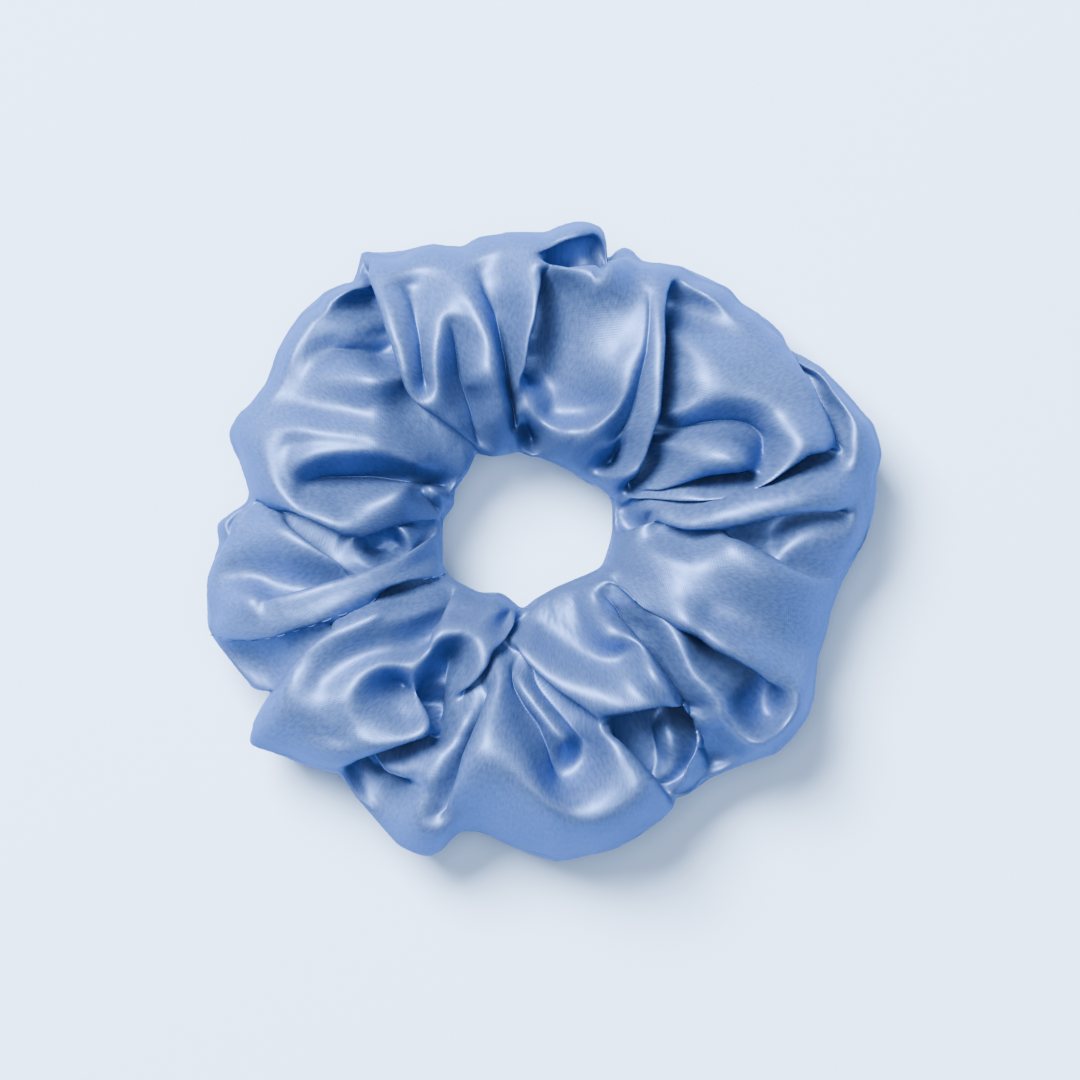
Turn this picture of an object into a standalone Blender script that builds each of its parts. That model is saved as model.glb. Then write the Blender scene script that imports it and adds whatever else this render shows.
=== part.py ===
"""A gathered satin scrunchie, laid flat on a table.

One long strip of satin is folded lengthwise, seamed along its raw edges and turned right side out, so that
both seam allowances lie inside the tube. A loop of flat braided elastic runs through the tube and gathers it
into a ring. One end of the tube is tucked into the other and stitched down: the closing seam.

Metres, +Z up. The ring lies in the XY plane, and the origin is at the middle of the bottom of its box.
Angles are in degrees, anticlockwise from +X, seen from above.
"""

import math

import bmesh
import bpy
import numpy as np
from mathutils import Vector

MM = 0.001

# The ring, seen from above. Both edges are (angle, radius in mm) about the middle of the hair hole.
RING_CENTRE_MM = (-2.6, 1.7)
OUTER_EDGE_MM = (
    (3, 61.5), (14, 64.5), (22, 62.0), (34, 57.0), (42, 57.0), (50, 56.0), (60, 54.0), (66, 52.0),
    (74, 50.5), (79, 55.8), (87, 53.3), (99, 52.7), (109, 53.5), (121, 57.5), (126, 54.5), (136, 56.0),
    (151, 53.2), (161, 55.0), (169, 51.0), (174, 50.3), (179, 55.5), (190, 58.0), (198, 59.2), (210, 56.0),
    (217, 61.5), (226, 57.5), (232, 54.5), (243, 58.5), (252, 61.0), (260, 54.2), (275, 59.2), (290, 57.9),
    (299, 54.8), (313, 56.6), (322, 60.0), (332, 58.0), (345, 56.0), (354, 58.0),
)
HOLE_EDGE_MM = (
    (0, 15.0), (22, 15.8), (50, 13.2), (88, 13.2), (122, 15.8), (158, 14.2), (180, 14.9), (206, 16.0),
    (233, 13.7), (250, 12.4), (265, 14.0), (285, 11.8), (300, 11.8), (325, 13.4), (345, 14.8),
)

# The puffed tube's section.
MIDDLE_HEIGHT = 15.0 * MM  # of its widest level
TOP_HEIGHT = 32.5 * MM
PUFF_HEIGHT = 2.0 * MM  # how much higher a puff's middle stands than the tuck beside it
PUFF_COUNT = 7
BOTTOM_SINK = 1.5 * MM  # how far the round underside would reach below the table if that didn't flatten it
SQUARENESS = 2.3  # 2 is an ellipse
PLEAT_DEPTH = 1.3 * MM

# The strip of satin.
SATIN = 0.4 * MM  # wall thickness
SECTION_CELLS = 18
SEAM_DIRECTION = 235.0  # where the long seam runs round the section: 180 faces the hole, 270 the table
SLIT = 0.5 * MM  # between the two turned-in allowances
ALLOWANCE = 8.0 * MM
NEEDLE_ROW = 3.0 * MM  # the stitches' distance from the fold
NEEDLE_HOLE = 0.8 * MM
STITCH_HOLES = 29
HOLE_PITCH = 12.0  # degrees
FIRST_HOLE = 16.0
HOLE_ANGLE = 1.6

# The closing seam: the outer end's edge is at this angle, and the other end is tucked under it.
CLOSING_ANGLE = 203.0
LAP = 9.0  # degrees of ring that are double
TUCK = 0.9 * MM  # how much smaller the tucked end's section is, all round
TUCKED_SLIT = 2.1 * MM
CLOSING_STITCH_FROM_EDGE = 2.4  # degrees
CLOSING_LIFT = 0.7 * MM  # keeps the closing stitches off the table

# The elastic: a flat braid over rubber cords, with its ends lapped and whipped together.
ELASTIC_RADIUS = 27.0 * MM
ELASTIC_HEIGHT = 17.0 * MM
BRAID_WIDTH = 6.2 * MM
BRAID_THICKNESS = 1.25 * MM
CORD_COUNT = 6
CORD_PITCH = 0.95 * MM
CORD_RADIUS = 0.31 * MM
BORE_RADIUS = 0.38 * MM
ELASTIC_STEP = 12.0  # degrees between stations
ELASTIC_START = 192.0
ELASTIC_LAP_STEPS = 2
LAP_SHIFT = 1.75 * MM  # how far outside the braid's start its end lies
WHIPPING_TURNS = 5
WHIPPING_CLEARANCE = 0.45 * MM

THREAD_RADIUS = 0.17 * MM
THREAD_CLEARANCE = 0.15 * MM

SATIN_BLUE = (0.20, 0.33, 0.62, 1.0)
THREAD_BLUE = (0.16, 0.27, 0.55, 1.0)
BRAID_WHITE = (0.80, 0.80, 0.78, 1.0)
RUBBER_TAN = (0.62, 0.52, 0.38, 1.0)


def clear_scene():
    for obj in list(bpy.data.objects):
        bpy.data.objects.remove(obj, do_unlink=True)


def new_collection(name):
    collection = bpy.data.collections.new(name)
    bpy.context.scene.collection.children.link(collection)
    return collection


def new_material(name, colour, roughness):
    material = bpy.data.materials.new(name)
    material.use_nodes = True
    shader = material.node_tree.nodes["Principled BSDF"]
    shader.inputs["Base Color"].default_value = colour
    shader.inputs["Roughness"].default_value = roughness
    shader.inputs["Metallic"].default_value = 0.0
    material.diffuse_color = colour
    return material


def around(angle, table_mm):
    """The radius in metres that a table of (angle, radius in mm) has at an angle."""
    angles, radii = zip(*table_mm)
    return float(np.interp(angle % 360.0, angles, radii, period=360.0)) * MM


def rounded(value):
    """A cosine or sine, squared off to the section's shape."""
    return math.copysign(abs(value) ** (2.0 / SQUARENESS), value)


def smooth(t):
    t = min(max(t, 0.0), 1.0)
    return t * t * (3.0 - 2.0 * t)


# ---- the satin cover ----


def tucked(u):
    """0 along the strip, and 1 where its far end is inside its near end. u is degrees of ring from the near end."""
    last_hole = FIRST_HOLE + (STITCH_HOLES - 1) * HOLE_PITCH + HOLE_ANGLE / 2
    return smooth((u - last_hole) / (357.5 - last_hole))


def pleat(u):
    """From -1 to 1: a crest and a valley at every other needle hole, and none at the closing seam."""
    fade = smooth((u - LAP) / 12.0) * smooth((360.0 - u) / 12.0)
    return fade * math.cos(math.pi * (u - FIRST_HOLE) / HOLE_PITCH)


def lift(u):
    """How far the cover's underside is off the table: only beside the closing stitches."""
    return CLOSING_LIFT * (1.0 - smooth((min(u, abs(360.0 - u)) - LAP) / 12.0))


def on_section(u, direction):
    """The point of the cover's outer face at u along the strip and this direction round the section.

    It is (distance from the ring's axis, height).
    """
    angle = CLOSING_ANGLE - u
    hole = around(angle, HOLE_EDGE_MM)
    edge = around(angle, OUTER_EDGE_MM)
    shrink = TUCK * tucked(u)
    across = rounded(math.cos(math.radians(direction)))
    up = rounded(math.sin(math.radians(direction)))
    facing_hole = max(0.0, -across) * (1.0 if up > -0.5 else 0.3)
    puff = PUFF_HEIGHT * math.cos(math.radians(PUFF_COUNT * angle))
    distance = (hole + edge) / 2 + ((edge - hole) / 2 - shrink) * across
    distance += PLEAT_DEPTH * pleat(u) * facing_hole
    if up > 0:
        height = MIDDLE_HEIGHT + (TOP_HEIGHT + puff - MIDDLE_HEIGHT - shrink) * up
        height += 0.6 * PLEAT_DEPTH * pleat(u) * up
    else:
        height = MIDDLE_HEIGHT + (MIDDLE_HEIGHT + BOTTOM_SINK) * up
        height = max(height, lift(u)) + shrink * (-up)
    return distance, height


def seam_frame(u):
    """The long seam's place on the section, the direction into the tube, and the direction along the section."""
    here = Vector(on_section(u, SEAM_DIRECTION))
    inward = Vector((0.72, 0.69)).normalized()
    along = Vector((-inward.y, inward.x))
    return here, inward, along


def strip_row(u):
    """One row of the strip's outer face, from one raw edge round the section to the other, as (distance, height)."""
    half = (SLIT + (TUCKED_SLIT - SLIT) * tucked(u)) / 2
    here, inward, along = seam_frame(u)
    depths = (
        ALLOWANCE,
        NEEDLE_ROW + NEEDLE_HOLE / 2,
        NEEDLE_ROW - NEEDLE_HOLE / 2,
        SATIN,
    )
    first = [here + inward * d + along * half for d in depths]
    last = [here + inward * d - along * half for d in reversed(depths)]
    step = 360.0 / (SECTION_CELLS + 1)
    # the section runs from the seam's hole side, over the top, to its outer side
    middle = [Vector(on_section(u, SEAM_DIRECTION - step * (k + 1))) for k in range(SECTION_CELLS)]
    return first + middle + last


def strip_rows():
    """Where the strip's rows are, in degrees of ring from its near end. Each needle hole lies between two rows."""
    rows = [0.0, LAP / 2, LAP]
    for k in range(STITCH_HOLES):
        middle = FIRST_HOLE + k * HOLE_PITCH
        rows += [middle - HOLE_ANGLE / 2, middle + HOLE_ANGLE / 2]
    return rows + [358.0, 360.0 + LAP / 2, 360.0 + LAP]


def in_ring(angle, distance, height):
    """The point at this angle and distance round the ring's axis."""
    turn = math.radians(angle)
    x = RING_CENTRE_MM[0] * MM + distance * math.cos(turn)
    y = RING_CENTRE_MM[1] * MM + distance * math.sin(turn)
    return Vector((x, y, height))


def mesh_object(name, bm, collection, material):
    mesh = bpy.data.meshes.new(name)
    bm.to_mesh(mesh)
    bm.free()
    obj = bpy.data.objects.new(name, mesh)
    obj.data.materials.append(material)
    collection.objects.link(obj)
    return obj


def add_strip(collection, material):
    """The strip as an open surface that is the cloth's outer face, thickened inward."""
    bm = bmesh.new()
    rows = strip_rows()
    grid = []
    for u in rows:
        points = [in_ring(CLOSING_ANGLE - u, *point) for point in strip_row(u)]
        grid.append([bm.verts.new(point) for point in points])
    cells = len(grid[0]) - 1
    for i in range(len(rows) - 1):
        is_hole_row = abs(rows[i + 1] - rows[i] - HOLE_ANGLE) < 1e-6
        for j in range(cells):
            is_needle_cell = j == 1 or j == cells - 2
            if is_hole_row and is_needle_cell:
                continue
            bm.faces.new((grid[i][j], grid[i + 1][j], grid[i + 1][j + 1], grid[i][j + 1]))
    obj = mesh_object("satin_cover", bm, collection, material)
    wall = obj.modifiers.new("wall", "SOLIDIFY")
    wall.thickness = SATIN
    wall.offset = -1.0
    wall.use_even_offset = True
    return obj


def closing_stitch_points():
    """Where the closing stitches cross the two layers: (point on the outer face, outward direction), two to a cell."""
    u = CLOSING_STITCH_FROM_EDGE
    near, far = 0.0, LAP / 2
    share = (u - near) / (far - near)
    rows = [strip_row(near), strip_row(far)]
    first_cell = 4
    crossings = []
    for j in range(first_cell, first_cell + SECTION_CELLS - 1):
        ends = []
        for k in (j, j + 1):
            a = in_ring(CLOSING_ANGLE - near, *rows[0][k])
            b = in_ring(CLOSING_ANGLE - far, *rows[1][k])
            ends.append((a.lerp(b, share), b - a))
        along = ends[1][0] - ends[0][0]
        outward = (ends[0][1] + ends[1][1]).cross(along).normalized()
        for t in (0.26, 0.74):
            crossings.append((ends[0][0].lerp(ends[1][0], t), outward))
    return crossings


def add_needle_holes(cover, crossings, cutters, material):
    """Cuts the closing stitches' needle holes through both layers."""
    bm = bmesh.new()
    for point, outward in crossings:
        made = bmesh.ops.create_cone(
            bm,
            cap_ends=True,
            segments=4,
            radius1=NEEDLE_HOLE * 0.6,
            radius2=NEEDLE_HOLE * 0.6,
            depth=4.0 * MM,
        )
        turn = outward.to_track_quat("Z", "Y").to_matrix()
        bmesh.ops.rotate(bm, verts=made["verts"], cent=(0, 0, 0), matrix=turn)
        bmesh.ops.translate(bm, verts=made["verts"], vec=point - outward * 0.8 * MM)
    cutter = mesh_object("needle_holes", bm, cutters, material)
    cutter.hide_render = True
    cutter.display_type = "WIRE"
    cut = cover.modifiers.new("needle_holes", "BOOLEAN")
    cut.operation = "DIFFERENCE"
    cut.solver = "EXACT"
    cut.object = cutter


# ---- threads ----


def add_thread(name, points, collection, material, radius=THREAD_RADIUS):
    curve = bpy.data.curves.new(name, "CURVE")
    curve.dimensions = "3D"
    curve.bevel_depth = radius
    curve.bevel_resolution = 0
    curve.use_fill_caps = True
    spline = curve.splines.new("POLY")
    spline.points.add(len(points) - 1)
    for place, point in zip(spline.points, points):
        place.co = (*point, 1.0)
    obj = bpy.data.objects.new(name, curve)
    obj.data.materials.append(material)
    collection.objects.link(obj)
    return obj


def long_seam_points():
    """A running stitch through both allowances: it changes side at each needle hole."""
    reach = SLIT / 2 + SATIN + THREAD_CLEARANCE + THREAD_RADIUS
    points = []
    for k in range(1, STITCH_HOLES - 1):
        u = FIRST_HOLE + k * HOLE_PITCH
        here, inward, along = seam_frame(u)
        side = 1.0 if k % 2 else -1.0
        for sign in (side, -side):
            spot = here + inward * NEEDLE_ROW + along * (reach * sign)
            points.append(in_ring(CLOSING_ANGLE - u, *spot))
    return points


def closing_seam_points(crossings):
    """A running stitch through both layers: short stitches outside, and longer ones inside, round the corners."""
    above = THREAD_CLEARANCE + THREAD_RADIUS
    below = TUCK + SATIN + above
    points = []
    for k, (point, outward) in enumerate(crossings):
        heights = (-below, above) if k % 2 == 0 else (above, -below)
        points += [point + outward * height for height in heights]
    return points


# ---- the elastic ----


def elastic_stations():
    """(angle, distance from the axis) along the braid. Its last steps lie outside its first ones."""
    around_once = round(360.0 / ELASTIC_STEP)
    stations = []
    for k in range(around_once + ELASTIC_LAP_STEPS + 1):
        shift = LAP_SHIFT * smooth((k - around_once + 3) / 3.0)
        stations.append((ELASTIC_START + k * ELASTIC_STEP, ELASTIC_RADIUS + shift))
    return stations


def ellipse(count, half_across, half_up, across=0.0, up=0.0):
    turns = [2 * math.pi * k / count for k in range(count)]
    return [(across + half_across * math.cos(t), up + half_up * math.sin(t)) for t in turns]


def braid_outline():
    """The flat braid's outline: two flat faces and two round edges, as (across, up)."""
    half = BRAID_THICKNESS / 2
    straight = BRAID_WIDTH / 2 - half
    upper = [(half * math.cos(math.radians(a)), straight + half * math.sin(math.radians(a))) for a in range(0, 181, 45)]
    lower = [(-x, -y) for x, y in upper]
    return upper + lower


def loft(bm, profile):
    """One profile at every station of the elastic. It returns the rings of vertices."""
    rings = []
    for angle, distance in elastic_stations():
        points = [in_ring(angle, distance + x, ELASTIC_HEIGHT + y) for x, y in profile]
        rings.append([bm.verts.new(point) for point in points])
    count = len(profile)
    for here, there in zip(rings, rings[1:]):
        for k in range(count):
            bm.faces.new((here[k], here[(k + 1) % count], there[(k + 1) % count], there[k]))
    return rings


def end_edges(bm, rings, end):
    ring = rings[end]
    return [bm.edges.get((ring[k], ring[(k + 1) % len(ring)])) for k in range(len(ring))]


def cord_heights():
    return [(k - (CORD_COUNT - 1) / 2) * CORD_PITCH for k in range(CORD_COUNT)]


def add_braid(collection, material):
    bm = bmesh.new()
    all_rings = [loft(bm, braid_outline())]
    for up in cord_heights():
        all_rings.append(loft(bm, ellipse(6, BORE_RADIUS, BORE_RADIUS, up=up)))
    for end in (0, -1):
        edges = [edge for rings in all_rings for edge in end_edges(bm, rings, end)]
        bmesh.ops.triangle_fill(bm, edges=edges, use_beauty=True)
    bmesh.ops.recalc_face_normals(bm, faces=bm.faces)
    return mesh_object("elastic_braid", bm, collection, material)


def add_cords(collection, material):
    for k, up in enumerate(cord_heights()):
        bm = bmesh.new()
        rings = loft(bm, ellipse(6, CORD_RADIUS, CORD_RADIUS, up=up))
        bm.faces.new(rings[0])
        bm.faces.new(rings[-1])
        bmesh.ops.recalc_face_normals(bm, faces=bm.faces)
        mesh_object(f"rubber_cord_{k + 1}", bm, collection, material)


def whipping_points():
    """A thread wound round both lapped ends of the braid."""
    corners_per_turn = 8
    half_across = (LAP_SHIFT + BRAID_THICKNESS) / 2 + WHIPPING_CLEARANCE
    half_up = BRAID_WIDTH / 2 + WHIPPING_CLEARANCE
    middle = ELASTIC_RADIUS + LAP_SHIFT / 2
    span = ELASTIC_STEP * ELASTIC_LAP_STEPS * 0.62
    start = ELASTIC_START + (ELASTIC_STEP * ELASTIC_LAP_STEPS - span) / 2
    count = WHIPPING_TURNS * corners_per_turn
    points = []
    for k in range(count + 1):
        turn = 2 * math.pi * k / corners_per_turn
        across = half_across * min(1.0, max(-1.0, 1.45 * math.cos(turn)))
        up = half_up * min(1.0, max(-1.0, 1.45 * math.sin(turn)))
        points.append(in_ring(start + span * k / count, middle + across, ELASTIC_HEIGHT + up))
    return points


def build():
    clear_scene()
    pieces = new_collection("scrunchie")
    cutters = new_collection("cutters")
    satin = new_material("satin", SATIN_BLUE, 0.35)
    thread = new_material("sewing_thread", THREAD_BLUE, 0.6)
    braid = new_material("braid", BRAID_WHITE, 0.8)
    rubber = new_material("rubber", RUBBER_TAN, 0.6)

    cover = add_strip(pieces, satin)
    crossings = closing_stitch_points()
    add_needle_holes(cover, crossings, cutters, satin)
    add_thread("long_seam_thread", long_seam_points(), pieces, thread)
    add_thread("closing_seam_thread", closing_seam_points(crossings), pieces, thread)
    add_braid(pieces, braid)
    add_cords(pieces, rubber)
    add_thread("elastic_join_thread", whipping_points(), pieces, thread)


build()
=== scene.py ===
"""A blue satin scrunchie, lying flat on a pale surface and seen from straight above.

The cover is one strip of satin sewn into a tube and gathered over an elastic. Its tube is laid out on a
grid: u runs round the ring, and v round the tube's section (0 faces outward, 90 up, 180 the hair hole and
270 the table). The folds are listed lines. The cloth between them is the shape that a tight, rather
stiff skin with a little air under it takes when it is held at those lines.

Millimetres are used for the cloth, and metres for everything in Blender.
"""

import math

import bpy
import numpy as np
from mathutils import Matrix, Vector


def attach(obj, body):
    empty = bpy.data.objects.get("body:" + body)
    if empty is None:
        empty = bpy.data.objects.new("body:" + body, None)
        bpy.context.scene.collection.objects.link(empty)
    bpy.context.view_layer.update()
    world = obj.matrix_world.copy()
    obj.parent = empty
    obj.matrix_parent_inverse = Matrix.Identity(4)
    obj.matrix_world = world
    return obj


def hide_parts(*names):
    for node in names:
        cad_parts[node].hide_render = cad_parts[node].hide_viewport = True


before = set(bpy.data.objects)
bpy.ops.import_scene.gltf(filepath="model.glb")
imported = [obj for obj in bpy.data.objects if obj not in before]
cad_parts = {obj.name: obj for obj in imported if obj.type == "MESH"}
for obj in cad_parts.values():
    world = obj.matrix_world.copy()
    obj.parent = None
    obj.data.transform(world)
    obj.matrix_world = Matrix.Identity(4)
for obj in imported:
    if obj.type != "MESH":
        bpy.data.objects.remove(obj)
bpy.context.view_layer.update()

MM = 0.001
FULL_TURN = 2 * math.pi

# The grid of the tube.
AROUND = 800  # steps round the ring
SECTION = 256  # steps round the section
GIRTH = 0.9  # the flat section's girth over a circle's
HALVINGS = 30  # in the search for a point's row
EDGE_STEPS = (0.35, 0.2)  # mm between the points of the outline: first, and once softened
SEAM_STEP = 0.3  # mm between the closing seam's points

# The tube before it is folded.
RING_CENTRE = (-2.6, 1.7)
MIDDLE_HEIGHT = 16.5
TOP_RISE = 14.5  # from the middle height to the top
BOTTOM_DROP = 17.2  # from the middle height to a little below the table, which flattens it
OUTER_ROUND = 1.45  # the power of the section's height: 1 is an ellipse, 2 a parabola
HOLE_ROUND = 1.25
EDGE_WAVES = 14  # how many waves of the edges the middle of the section follows
OUTER_REACH = math.radians(42)  # how far round the section the outline's detail reaches
HOLE_REACH = math.radians(38)
EDGE_TRIMS = 3  # how often the widest and narrowest rows are brought back to the edges
TABLE = (0.3, 0.5)  # the lowest height of the cloth, and the softness of that limit, in mm
POCKET = (-3.0, 1.2)  # the same for a pocket, from the middle height

# The widest line, between the upper and the lower side.
EDGE_WANDER = 2.6  # how far it goes up and down round the ring
SWAY = ((0.6, 5, 0.7), (0.4, 11, 2.1))  # (share, waves round the ring, phase) of its wander
EDGE_SOFT_ROWS = 9  # how far on each side of it the turn is rounded off
EDGE_SOFT_PASSES = 14

# How the folds' heights act on the tube.
FULL_LIFT = 0.40  # the sine of v from which a row is lifted by all of its push
LEAST_LIFT = 0.4  # a push makes up for no less lift than this
SIDE_PUSH = 0.2  # the sine of v up to which a row is pushed sideways too
EDGE_FADE = 2.4  # mm inside an edge over which the folds' heights fade
RELIEF = {"ridge": 1.4, "valley": 1.4, "crease": 1.5, "lap": 1.5}  # built height over listed height

# The cloth, as a skin. A stiffness is the width in mm over which a line is rounded.
STIFFNESS = 2.4
PULL_BACK = 0.035  # how strongly the unheld cloth keeps to the tube
PRESSURE = 0.05
CREASE_STIFFNESS = 0.25
CREASE_REACH = 2.2  # mm
SHIFT_STIFFNESS = 0.6
LAP_REACH = 3.2  # mm over which the sideways shift of a lap fades
# How strongly each kind of line holds the cloth, per mm.
HOLD = {"ridge": 40.0, "valley": 20.0, "crease": 60.0, "lap": 120.0, "gather": 8.0}
OUTLINE_HOLD = 40.0
HOLE_HOLD = 30.0
SHARP_HOLD = 12.0
PINCH_HOLD = 20.0
LAP_SHIFT_HOLD = 30.0
PUSH_ROUNDS = 420
FINE_ROUNDS = 140
SAMPLE = 0.25  # mm between the points at which a line holds the cloth

# Creases: a sharp line at the bottom of a valley.
CREASE = (0.8, 0.30)  # how much deeper the sharp line is: always, and per mm of the valley's depth
CREASE_END = 3.0  # mm over which it starts and ends
PINCH = 0.5  # how far each side of it closes over it
PINCH_AT = 0.75  # mm from the line to each side

# Laps: the cloth folds over itself.
LAP_HALF_WIDTH = 0.35  # mm between a lap's line and each side of its wall, for a drop of 0
LAP_WIDTH_PER_DROP = 0.06
LAP_END = 2.0  # mm over which it starts and ends
TUCK_PER_DROP = 0.32  # how far the lower cloth goes under the upper one
MOST_TUCK = 2.0
TUCK_ROOM = 0.35  # the most of the room to the nearer edge that the tuck takes
ROOM_MARGIN = 1.5

SEED = 7  # of the gathers and the waves below

# Gathers on the side and underside. They start and end in turns round the section.
GATHERS = 46
GATHER_JITTER = 0.3  # of the space between two
GATHER_START = (0.96, 1.07)
GATHER_END = (0.52, 0.62)
GATHER_SWAY = 9  # the most, in steps round the ring
GATHER_BENDS = (0.6, 1.6)
GATHER_SIZE = (1.2, 3.2)  # mm
INWARD = -1.1  # every other gather goes inward, a little further

# Soft random waves: (mm high, how many, the shortest and the longest in mm, how far they lean).
WRINKLES = ((0.22, 60, 5, 12, 0.6), (0.05, 90, 1.8, 4, 0.9))
UNDERSIDE_WRINKLES = 0.8  # how much stronger they are underneath

# The space for the elastic, which travels round inside the cover.
ELASTIC_RADIUS = 27.0
ELASTIC_ROOM = 4.0  # to each side of that radius
ELASTIC_RAMP = 3.0  # mm over which the cloth comes down beside it
ELASTIC_TOP = (21.8, 1.0)  # the lowest height of the cloth over it, and its softness

# The cloth, its seams and its thread.
CLOTH = 0.22  # mm thick
WEAVE_RADII = (36, 17)  # of the ring and of the section, for the lengths in the weave's map
LONG_SEAM_ROW = 167  # 235 degrees round the section
SEAM_GROOVE = 0.5
STITCH = 2.1
STITCH_GAP = 0.9
STITCH_POINTS = 6
STITCH_BOW = (1.5, 0.6)  # in thread radii: how far a stitch bows out, and how far its ends sink in
THREAD_RADIUS = 0.13
THREAD_END = 0.6  # a stitch's width at its ends, as a share
THREAD_SIDES = 6
WEAVE_SCALE = 6.3 / (20 * 0.00038)  # for lines 0.38 mm apart
UNDER_PLACES = 220  # along the closing seam's way back underneath

# The camera.
FRAME_WIDTH = 0.1915
LENS = 300
SENSOR = 36
CAMERA_PLACE = (-0.0008, 0.0003)

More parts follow.
